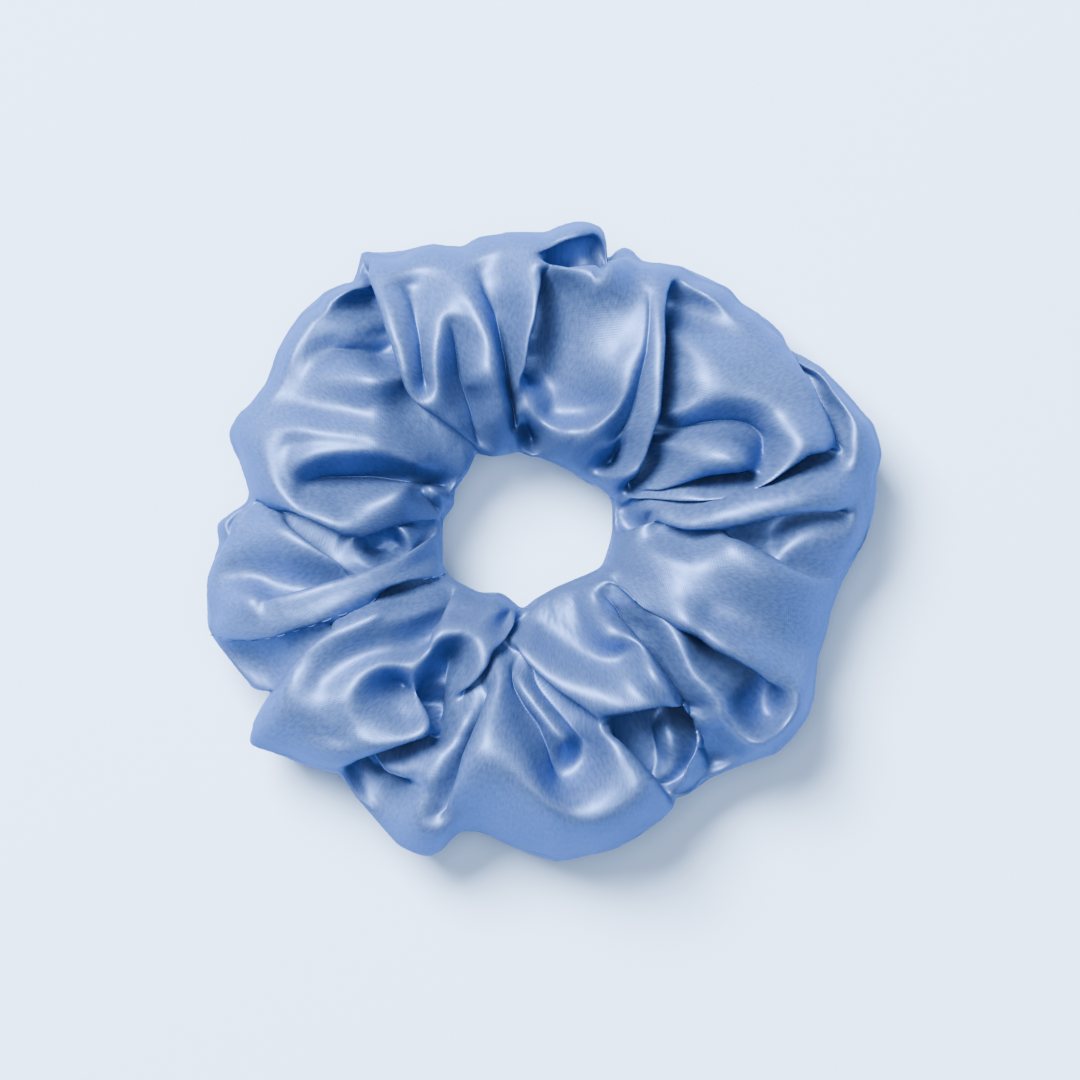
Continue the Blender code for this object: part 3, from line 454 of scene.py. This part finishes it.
class Tube:
    """The unfolded tube, and where a point in space lies on its grid."""

    def __init__(self):
        self.theta = (np.arange(AROUND) + 0.5) / AROUND * FULL_TURN
        self.outline = radius_at(OUTLINE, self.theta, True)
        self.hole = radius_at(HOLE_EDGE, self.theta, False)
        outer = rounded(self.outline, EDGE_WAVES)
        hole = rounded(self.hole, EDGE_WAVES)
        self.middle = (outer + hole) / 2
        self.half = (outer - hole) / 2
        self.outer_extra = self.outline - outer
        self.hole_extra = hole - self.hole
        self.v = np.arange(SECTION) / SECTION * FULL_TURN
        self.step_u = float(self.middle.mean()) * FULL_TURN / AROUND
        self.step_v = float(self.half.mean() * GIRTH) * FULL_TURN / SECTION

    def columns(self):
        """What row_radius needs, round the ring."""
        return self.middle, self.half, self.outer_extra, self.hole_extra

    def at(self, values, theta):
        """Values given round the ring, at other angles."""
        return np.interp(theta, self.theta, values, period=FULL_TURN)

    def room(self, x, y):
        """How far a point lies inside both edges, less a margin."""
        theta, radius = polar(x, y)
        inside = self.at(self.half, theta) - np.abs(radius - self.at(self.middle, theta))
        return np.maximum(inside - ROOM_MARGIN, 0)

    def locate(self, x, y, rise):
        """(u, v, push) on the grid of points that stand rise above the unfolded tube's upper side."""
        theta, radius = polar(x, y)
        columns = [self.at(values, theta) for values in self.columns()]
        low = np.zeros_like(radius)
        high = np.full_like(radius, math.pi)
        for _ in range(HALVINGS):
            v = (low + high) / 2
            inside = row_radius(v, *columns) < radius
            low = np.where(inside, low, v)
            high = np.where(inside, v, high)
        inside = np.minimum(radius - self.at(self.hole, theta), self.at(self.outline, theta) - radius)
        push = rise * np.clip(inside / EDGE_FADE, 0, 1) / np.maximum(lift(v), LEAST_LIFT)
        return theta / FULL_TURN * AROUND - 0.5, v / FULL_TURN * SECTION, push


class Skin:
    """A field on the tube's grid, held at some points and as smooth as a tight skin between them."""

    def __init__(self, tube, stiffness, pull_back, pressure=0.0):
        ku = np.arange(AROUND) * FULL_TURN / AROUND
        kv = np.arange(SECTION // 2 + 1) * FULL_TURN / SECTION
        bend = (2 - 2 * np.cos(ku))[:, None] / tube.step_u ** 2 + (2 - 2 * np.cos(kv)) / tube.step_v ** 2
        self.cell = tube.step_u * tube.step_v
        self.free = (bend + stiffness ** 2 * bend ** 2 + pull_back) * self.cell
        self.pressure = pressure
        self.holds = []

    def hold(self, u, v, values, strength):
        """Holds the field at points SAMPLE apart, by a strength per mm of their line."""
        u, v = np.broadcast_arrays(np.asarray(u, float), np.asarray(v, float))
        u0, v0 = np.floor(u).astype(int), np.floor(v).astype(int)
        fu, fv = u - u0, v - v0
        corners = ((0, 0), (1, 0), (0, 1), (1, 1))
        spots = [((u0 + du) % AROUND) * SECTION + (v0 + dv) % SECTION for du, dv in corners]
        shares = [(1 - fu) * (1 - fv), fu * (1 - fv), (1 - fu) * fv, fu * fv]
        values, strengths = (np.broadcast_to(part, u.shape) for part in (values, strength * SAMPLE))
        self.holds.append((np.column_stack(spots), np.column_stack(shares), values, strengths))

    def solve(self, rounds):
        """The field, by conjugate gradients that the skin's own waves make quick."""
        spots, shares, values, strengths = (np.concatenate(parts) for parts in zip(*self.holds))
        size = AROUND * SECTION

        def spread(amounts):
            return np.bincount(spots.ravel(), (shares * amounts[:, None]).ravel(), size)

        def scale_waves(field, scale):
            waves = np.fft.rfft2(field.reshape(AROUND, SECTION))
            return np.fft.irfft2(waves * scale, (AROUND, SECTION)).ravel()

        def stiff(field):
            held = (field[spots] * shares).sum(1)
            return scale_waves(field, self.free) + spread(held * strengths)

        guess = 1 / (self.free + strengths.sum() / size)
        field = np.zeros(size)
        left = spread(values * strengths) + self.pressure * self.cell
        ready = scale_waves(left, guess)
        way = ready.copy()
        score = left @ ready
        for _ in range(rounds):
            moved = stiff(way)
            step = score / (way @ moved)
            field += step * way
            left -= step * moved
            ready = scale_waves(left, guess)
            new_score = left @ ready
            way = ready + (new_score / score) * way
            score = new_score
        return field.reshape(AROUND, SECTION)


def deepened(kind, rise):
    """The built rise of a fold of this kind. Above the tube, every kind is built like a ridge."""
    return np.where(rise < 0, rise * RELIEF[kind], rise * RELIEF["ridge"])


def rightward(line):
    """The direction to the right at each point, walking along the line."""
    ahead = np.gradient(line[:, :2], axis=0)
    ahead /= np.maximum(np.hypot(*ahead.T), 1e-9)[:, None]
    return np.column_stack([ahead[:, 1], -ahead[:, 0]])


def end_fade(count, reach):
    """From 0 at both ends of a line of so many points to 1 at the reach from them."""
    ends = np.minimum(np.arange(count), np.arange(count)[::-1]) * SAMPLE
    return np.clip(ends / reach, 0, 1)


def wrinkles(rng, tube, count, shortest, longest, lean):
    """Soft random waves on the grid, mostly running round the section."""
    u = np.arange(AROUND)[:, None] / AROUND * FULL_TURN
    v = tube.v[None, :]
    total = np.zeros((AROUND, SECTION))
    reach = float(tube.middle.mean())
    girth = float(tube.half.mean())
    for _ in range(count):
        length = math.exp(rng.uniform(math.log(shortest), math.log(longest)))
        turn = rng.normal(0, lean)
        wave_u = round(FULL_TURN / length * math.cos(turn) * reach)
        wave_v = round(FULL_TURN / length * math.sin(turn) * girth)
        total += length * np.cos(wave_u * u + wave_v * v + rng.uniform(0, FULL_TURN))
    return total / np.abs(total).max()


class Folds:
    """The four fields that fold the tube: a push outward, its sharp creases, and a shift in x and in y."""

    def __init__(self, tube):
        self.tube = tube
        self.push = Skin(tube, STIFFNESS, PULL_BACK, PRESSURE)
        self.crease = Skin(tube, CREASE_STIFFNESS, 1 / CREASE_REACH ** 2)
        self.shifts = [Skin(tube, SHIFT_STIFFNESS, 1 / LAP_REACH ** 2) for _ in "xy"]

    def shift(self, u, v, amount, direction, strength):
        """Moves the cloth at (u, v) sideways."""
        for axis, skin in enumerate(self.shifts):
            skin.hold(u, v, amount * direction[:, axis], strength)

    def add(self, kind, points):
        """A ridge, a valley, a crease or a lap."""
        line = along(points, SAMPLE)
        if kind == "lap":
            self.lap(line)
            return
        rise = deepened(kind, line[:, 2])
        fade = end_fade(len(line), CREASE_END)
        sharp = 0 * rise
        if kind == "crease":
            sharp = (CREASE[0] + CREASE[1] * np.abs(rise)) * fade
        u, v, push = self.tube.locate(line[:, 0], line[:, 1], rise)
        self.push.hold(u, v, push + sharp, HOLD[kind])
        self.crease.hold(u, v, -sharp, SHARP_HOLD)
        if kind == "crease":
            self.pinch(line, rise, fade)

    def pinch(self, line, rise, fade):
        """Closes the two sides of a crease over it."""
        right = rightward(line)
        for side in (-1, 1):
            at = line[:, :2] + side * PINCH_AT * right
            u, v, _ = self.tube.locate(at[:, 0], at[:, 1], rise)
            self.shift(u, v, -side * PINCH * fade, right, PINCH_HOLD)

    def lap(self, line):
        """A fold of cloth that lies over the cloth on its right."""
        upper, lower = deepened("lap", line[:, 2]), deepened("lap", line[:, 3])
        right = rightward(line)
        drop = np.maximum(upper - lower, 0)
        width = LAP_HALF_WIDTH + LAP_WIDTH_PER_DROP * drop
        fade = end_fade(len(line), LAP_END)
        tuck = np.minimum(TUCK_PER_DROP * drop, MOST_TUCK) * fade
        tuck = np.minimum(tuck, TUCK_ROOM * self.tube.room(line[:, 0], line[:, 1]))
        for side, rise, moved in ((-1, upper, width * fade), (1, lower, -(width * fade + tuck))):
            at = line[:, :2] + side * width[:, None] * right
            u, v, push = self.tube.locate(at[:, 0], at[:, 1], rise)
            self.push.hold(u, v, push, HOLD["lap"])
            self.crease.hold(u, v, 0, SHARP_HOLD)
            self.shift(u, v, moved, right, LAP_SHIFT_HOLD)

    def add_gathers(self, rng):
        """Folds on the side and underside, where the cloth is gathered onto the elastic."""
        for number in range(GATHERS):
            u = (number + rng.uniform(-GATHER_JITTER, GATHER_JITTER)) / GATHERS * AROUND
            start = rng.uniform(*GATHER_START) * SECTION
            end = rng.uniform(*GATHER_END) * SECTION
            v = np.arange(end, start, SAMPLE / self.tube.step_v)
            bend = rng.uniform(-GATHER_SWAY, GATHER_SWAY)
            sway = bend * np.sin((v - end) / (start - end) * math.pi * rng.uniform(*GATHER_BENDS))
            size = rng.uniform(*GATHER_SIZE) * (1 if number % 2 else INWARD)
            self.push.hold(u + sway, v, size + 0 * v, HOLD["gather"])


def fold_cloth(tube):
    """The cover's grid points, in mm."""
    rng = np.random.default_rng(SEED)
    folds = Folds(tube)
    for kind, lines in FOLDS.items():
        for points in lines:
            folds.add(kind, points)
    every = np.arange(AROUND)
    folds.push.hold(every, 0, 0, OUTLINE_HOLD)
    folds.push.hold(every, SECTION / 2, 0, HOLE_HOLD)
    folds.add_gathers(rng)
    folds.crease.hold(every, LONG_SEAM_ROW, -SEAM_GROOVE, SHARP_HOLD)
    field = folds.push.solve(PUSH_ROUNDS) + folds.crease.solve(FINE_ROUNDS)
    shift_x, shift_y = (skin.solve(FINE_ROUNDS) for skin in folds.shifts)
    top = np.clip(np.sin(tube.v), 0, 1)[None, :]
    fine = sum(size * wrinkles(rng, tube, *waves) for size, *waves in WRINKLES)
    field = field + fine * (1.0 + UNDERSIDE_WRINKLES * (1 - top))
    return soften_edge(folded_points(tube, field, shift_x, shift_y))


def kept_above(values, lowest, softness):
    """The values, kept above the lowest one by a rounded step."""
    return lowest + np.logaddexp(0, (values - lowest) / softness) * softness


def folded_radius(tube, v, field):
    """The radius of the folded grid. It meets the outline and the hole's edge."""
    columns = [values[:, None] for values in tube.columns()]
    radius = row_radius(v, *columns) + field * np.cos(v) * np.clip(1 - np.sin(v) / SIDE_PUSH, 0, 1)
    for _ in range(EDGE_TRIMS):
        widest = tube.v[radius.argmax(axis=1)][:, None]
        wider = tube.outline - radius.max(axis=1)
        radius = radius + wider[:, None] * edge_share(v, widest, OUTER_REACH)
        narrowest = tube.v[radius.argmin(axis=1)][:, None]
        narrower = tube.hole - radius.min(axis=1)
        radius = radius + narrower[:, None] * edge_share(v, narrowest, HOLE_REACH)
    return radius


def folded_points(tube, field, shift_x, shift_y):
    """The points of the folded grid, in mm."""
    theta = tube.theta[:, None]
    v = tube.v[None, :]
    power = np.where(np.cos(v) > 0, OUTER_ROUND, HOLE_ROUND)
    upper = TOP_RISE * np.clip(np.sin(v), 0, 1) ** power + field * lift(v)
    upper = kept_above(upper, *POCKET)
    lower = (BOTTOM_DROP + field) * np.clip(np.sin(v), -1, 0)
    z = MIDDLE_HEIGHT + np.where(np.sin(v) > 0, upper, lower)
    sway = sum(share * np.sin(waves * theta + phase) for share, waves, phase in SWAY)
    z = z + EDGE_WANDER * sway * np.clip(np.cos(v), 0, 1) ** 2
    radius = folded_radius(tube, v, field)
    x = RING_CENTRE[0] + radius * np.cos(theta) + shift_x
    y = RING_CENTRE[1] + radius * np.sin(theta) + shift_y
    z = kept_above(z, *TABLE)
    room = np.clip(1 - (np.abs(radius - ELASTIC_RADIUS) - ELASTIC_ROOM) / ELASTIC_RAMP, 0, 1)
    over = kept_above(z, *ELASTIC_TOP)
    z = np.where(np.sin(v) > 0, z + room * (over - z), z)
    return np.stack([x, y, z], axis=-1)


def soften_edge(points):
    """The points with the sharp turn at the widest row rounded off."""
    row = np.minimum(np.arange(SECTION), SECTION - np.arange(SECTION))
    near = np.exp(-((row / EDGE_SOFT_ROWS) ** 2))[None, :, None]
    soft = points
    for _ in range(EDGE_SOFT_PASSES):
        soft = (np.roll(soft, 1, axis=1) + 2 * soft + np.roll(soft, -1, axis=1)) / 4
    return points + near * (soft - points)


def add_object(name, data):
    """A new object in the scene."""
    obj = bpy.data.objects.new(name, data)
    bpy.context.scene.collection.objects.link(obj)
    return obj


def smooth_mesh(name, points, faces):
    """A smooth-shaded mesh from points in mm."""
    mesh = bpy.data.meshes.new(name)
    mesh.from_pydata((points * MM).tolist(), [], faces)
    mesh.polygons.foreach_set("use_smooth", np.ones(len(mesh.polygons), bool))
    return mesh


def cloth_object(name, points):
    """The grid as a thin sheet closed in both directions, with the weave's lengths in its UVs."""
    rows, columns = points.shape[:2]
    index = np.arange(rows * columns).reshape(rows, columns)
    across = np.roll(index, -1, axis=0)
    faces = np.stack([index, across, np.roll(across, -1, axis=1), np.roll(index, -1, axis=1)], axis=-1)
    mesh = smooth_mesh(name, points.reshape(-1, 3), faces.reshape(-1, 4).tolist())
    places = np.indices((rows, columns)).transpose(1, 2, 0)[:, :, None] + [(0, 0), (1, 0), (1, 1), (0, 1)]
    lengths = places * (FULL_TURN * np.array(WEAVE_RADII) / (rows, columns) * MM)
    layer = mesh.uv_layers.new(name="cloth")
    layer.data.foreach_set("uv", lengths.ravel().astype(np.float32))
    mesh.update()
    obj = add_object(name, mesh)
    thick = obj.modifiers.new("cloth", "SOLIDIFY")
    thick.thickness = CLOTH * MM
    thick.offset = -1
    return obj


def on_grid(points, u, v):
    """The points of the folded grid at the places (u, v), and the outward normals there."""
    u, v = np.asarray(u, float) % AROUND, np.asarray(v, float) % SECTION
    u0, v0 = u.astype(int), v.astype(int)
    fu, fv = (u - u0)[:, None], (v - v0)[:, None]
    u1, v1 = (u0 + 1) % AROUND, (v0 + 1) % SECTION
    near = points[u0, v0] * (1 - fu) + points[u1, v0] * fu
    far = points[u0, v1] * (1 - fu) + points[u1, v1] * fu
    round_ring = points[u1, v0] - points[u0, v0]
    round_section = points[u0, v1] - points[u0, v0]
    normal = np.cross(round_ring, round_section)
    normal /= np.linalg.norm(normal, axis=1)[:, None]
    return near * (1 - fv) + far * fv, normal


def thread_tube(line, normals):
    """(points, faces) of a round thread along the line, with closed ends."""
    ahead = np.gradient(line, axis=0)
    ahead /= np.linalg.norm(ahead, axis=1)[:, None]
    across = np.cross(ahead, normals)
    across /= np.linalg.norm(across, axis=1)[:, None]
    up = np.cross(across, ahead)
    girth = np.full(len(line), THREAD_RADIUS)
    girth[[0, -1]] *= THREAD_END
    turn = np.arange(THREAD_SIDES) / THREAD_SIDES * FULL_TURN
    rings = (
        line[:, None, :]
        + girth[:, None, None] * np.cos(turn)[None, :, None] * across[:, None, :]
        + girth[:, None, None] * np.sin(turn)[None, :, None] * up[:, None, :]
    )
    index = np.arange(len(line) * THREAD_SIDES).reshape(-1, THREAD_SIDES)
    after = np.roll(index, -1, axis=1)
    walls = np.stack([index[:-1], after[:-1], after[1:], index[1:]], axis=-1)
    ends = [index[0, ::-1].tolist(), index[-1].tolist()]
    return rings.reshape(-1, 3), walls.reshape(-1, 4).tolist() + ends


def stitches(name, points, u, v):
    """A row of machine stitches that lie in the cloth along the grid places (u, v)."""
    surface, _ = on_grid(points, u, v)
    distance = np.append(0, np.cumsum(np.linalg.norm(np.diff(surface, axis=0), axis=1)))
    count = int(distance[-1] / (STITCH + STITCH_GAP))
    every = distance[-1] / count
    bow = np.sin(np.linspace(0, math.pi, STITCH_POINTS))[:, None]
    corners, faces = [], []
    for number in range(count):
        at = number * every + np.linspace(0, STITCH, STITCH_POINTS)
        line, normal = on_grid(points, np.interp(at, distance, u), np.interp(at, distance, v))
        line = line + normal * (THREAD_RADIUS * (STITCH_BOW[0] * bow - STITCH_BOW[1]))
        tube_points, tube_faces = thread_tube(line, normal)
        start = sum(len(part) for part in corners)
        faces += [tuple(start + corner for corner in face) for face in tube_faces]
        corners.append(tube_points)
    return add_object(name, smooth_mesh(name, np.concatenate(corners), faces))


def closing_seam_path(tube):
    """Grid places along the closing seam: over the top, then back round the outside and under."""
    top = along(CLOSING_SEAM, SEAM_STEP)
    u, v, _ = tube.locate(top[:, 0], top[:, 1], 0 * top[:, 0])
    low = np.linspace(0, 1, UNDER_PLACES)
    below_u = u[-1] + (u[0] - u[-1]) * low
    below_v = -low * SECTION / 2
    return np.append(u, below_u), np.append(v, below_v)


class Look:
    """A procedural material while it is being put together."""

    def __init__(self, name):
        self.material = bpy.data.materials.new(name)
        self.material.use_nodes = True
        self.shader = self.material.node_tree.nodes["Principled BSDF"]

    def node(self, kind, constants=(), links=(), **settings):
        """A node with its (socket, constant) and (socket, source) pairs."""
        made = self.material.node_tree.nodes.new("ShaderNode" + kind)
        for name, value in settings.items():
            setattr(made, name, value)
        for socket, value in constants:
            made.inputs[socket].default_value = value
        for socket, source in links:
            self.link(source, made.inputs[socket])
        return made

    def link(self, source, target):
        """Joins an output socket to an input socket."""
        self.material.node_tree.links.new(source, target)

    def ramp(self, amount, dark, light, start=0.0, end=1.0):
        """The shader's colour, from dark to light with the amount."""
        ramp = self.node("ValToRGB", links=[("Fac", amount)])
        for element, position, colour in zip(ramp.color_ramp.elements, (start, end), (dark, light)):
            element.position = position
            element.color = (*colour, 1)
        self.link(ramp.outputs["Color"], self.shader.inputs["Base Color"])

    def noise(self, place, stretch, detail):
        """Noise on a map that is stretched by so much in each direction."""
        spread = self.node("Mapping", [("Scale", stretch)], [("Vector", place)])
        constants = [("Scale", 1.0), ("Detail", detail)]
        return self.node("TexNoise", constants, [("Vector", spread.outputs["Vector"])]).outputs["Fac"]

    def ribs(self, place, slant, constants):
        """Ribs on a map that is turned by so many degrees."""
        turned = self.node("Mapping", [("Rotation", (0, 0, math.radians(slant)))], [("Vector", place)])
        return self.node("TexWave", constants, [("Vector", turned.outputs["Vector"])]).outputs["Fac"]

    def bump(self, height, strength, distance):
        """Adds a relief to the shader's normal, over any that it has."""
        normal = self.shader.inputs["Normal"]
        links = [("Height", height)]
        if normal.is_linked:
            links.append(("Normal", normal.links[0].from_socket))
        made = self.node("Bump", [("Strength", strength), ("Distance", distance)], links)
        self.link(made.outputs["Normal"], normal)


def satin_material():
    """Smooth blue satin with a broad shine, fine slanted ribs and a slight slub."""
    look = Look("satin")
    place = look.node("UVMap", uv_map="cloth").outputs["UV"]
    lines = [("Scale", WEAVE_SCALE), ("Distortion", 1.2), ("Detail", 2.0), ("Detail Scale", 1.5)]
    weave = look.ribs(place, 62, lines)
    slub = look.noise(place, (3000, 1100, 1), 3.0)
    soft_creases = look.noise(place, (300, 110, 1), 2.0)
    look.ramp(slub, (0.036, 0.070, 0.195), (0.058, 0.102, 0.250), 0.3, 0.7)
    rough = look.node("MapRange", [("To Min", 0.48), ("To Max", 0.60)], [("Value", slub)])
    look.link(rough.outputs["Result"], look.shader.inputs["Roughness"])
    look.shader.inputs["Metallic"].default_value = 0.62
    look.shader.inputs["IOR"].default_value = 1.55
    look.shader.inputs["Specular Tint"].default_value = (0.35, 0.5, 0.9, 1)
    look.bump(weave, 0.25, 0.00003)
    look.bump(slub, 0.3, 0.00004)
    look.bump(soft_creases, 0.08, 0.0003)
    return look.material


def plain_material(name, colour, roughness, scale, strength):
    """A dull material with a fine grain in its colour and its surface."""
    look = Look(name)
    place = look.node("TexCoord").outputs["Object"]
    grain = look.node("TexNoise", [("Scale", scale)], [("Vector", place)]).outputs["Fac"]
    look.ramp(grain, [0.8 * part for part in colour], [1.1 * part for part in colour])
    look.shader.inputs["Roughness"].default_value = roughness
    look.shader.inputs["Specular IOR Level"].default_value = 0.1
    look.bump(grain, strength, 0.0001)
    return look.material


def braid_material():
    """Pale yarns braided at a slant: two crossed sets of ribs on a ring about the cover's centre."""
    look = Look("braid")
    place = look.node("TexCoord").outputs["Object"]
    centre = (RING_CENTRE[0] * MM, RING_CENTRE[1] * MM, 0)
    centred = look.node("VectorMath", [(1, centre)], [(0, place)], operation="SUBTRACT")
    parts = look.node("SeparateXYZ", links=[("Vector", centred.outputs["Vector"])]).outputs
    angle = look.node("Math", links=[(0, parts["Y"]), (1, parts["X"])], operation="ARCTAN2").outputs["Value"]
    length = look.node("Math", [(1, ELASTIC_RADIUS * MM)], [(0, angle)], operation="MULTIPLY")
    flat = [("X", length.outputs["Value"]), ("Y", parts["Z"])]
    unrolled = look.node("CombineXYZ", links=flat).outputs["Vector"]
    ribs = [look.ribs(unrolled, slant, [("Scale", 330.0), ("Distortion", 0.6)]) for slant in (38, -38)]
    yarns = look.node("Math", links=enumerate(ribs), operation="MULTIPLY").outputs["Value"]
    look.ramp(yarns, (0.22, 0.22, 0.21), (0.42, 0.42, 0.41))
    look.shader.inputs["Roughness"].default_value = 0.75
    look.bump(yarns, 0.8, 0.0002)
    return look.material


def add_floor():
    """A plain pale floor that the light on it turns nearly white."""
    mesh = bpy.data.meshes.new("floor")
    mesh.from_pydata([(-3, -3, 0), (3, -3, 0), (3, 3, 0), (-3, 3, 0)], [], [(0, 1, 2, 3)])
    floor = add_object("floor", mesh)
    look = Look("pale_floor")
    look.shader.inputs["Base Color"].default_value = (0.33, 0.475, 0.72, 1)
    look.shader.inputs["Roughness"].default_value = 0.8
    look.shader.inputs["Specular IOR Level"].default_value = 0.2
    mesh.materials.append(look.material)


def add_light(name, place, size, power, colour):
    """A square studio light that faces the middle of the scene."""
    data = bpy.data.lights.new(name, "AREA")
    data.shape = "SQUARE"
    data.size = size
    data.energy = power
    data.color = colour
    light = add_object(name, data)
    light.location = place
    light.rotation_mode = "QUATERNION"
    light.rotation_quaternion = (-Vector(place)).to_track_quat("-Z", "Y")


def add_lights():
    """A large soft light from the upper left, a weaker one overhead and hardly any fill."""
    add_light("softbox", (-0.75, 0.95, 1.9), 1.0, 470.0, (1.0, 0.99, 0.97))
    add_light("overhead", (0.1, -0.1, 2.3), 1.2, 70.0, (0.97, 0.98, 1.0))
    add_light("fill", (0.9, -0.5, 0.7), 0.6, 0.3, (0.95, 0.97, 1.0))
    world = bpy.data.worlds.new("studio")
    bpy.context.scene.world = world
    world.use_nodes = True
    background = world.node_tree.nodes["Background"]
    background.inputs["Color"].default_value = (0.72, 0.82, 1.0, 1)
    background.inputs["Strength"].default_value = 0.02


def add_camera():
    """A long lens straight above the ring."""
    data = bpy.data.cameras.new("camera")
    data.lens = LENS
    data.sensor_width = SENSOR
    camera = add_object("camera", data)
    camera.location = (*CAMERA_PLACE, MIDDLE_HEIGHT * MM + FRAME_WIDTH * LENS / SENSOR)
    bpy.context.scene.camera = camera


tube = Tube()
points = fold_cloth(tube)
cover = cloth_object("satin_folds", points)
cover.data.materials.append(satin_material())
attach(cover, "cover")
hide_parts("satin_cover")

closing_seam = stitches("closing_seam_stitches", points, *closing_seam_path(tube))
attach(closing_seam, "cover")
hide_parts("closing_seam_thread")
ring = np.linspace(0, AROUND, 2 * AROUND)
long_seam = stitches("long_seam_stitches", points, ring, LONG_SEAM_ROW + 0 * ring)
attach(long_seam, "cover")
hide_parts("long_seam_thread")

materials = {
    "thread": plain_material("thread", (0.022, 0.046, 0.150), 0.85, 9000, 0.5),
    "braid": braid_material(),
    "cord": plain_material("rubber", (0.24, 0.19, 0.13), 0.6, 2000, 0.2),
}
for seam in (closing_seam, long_seam):
    seam.data.materials.append(materials["thread"])
for name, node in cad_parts.items():
    for word, material in materials.items():
        if word in name:
            node.data.materials.clear()
            node.data.materials.append(material)

add_floor()
add_lights()
add_camera()
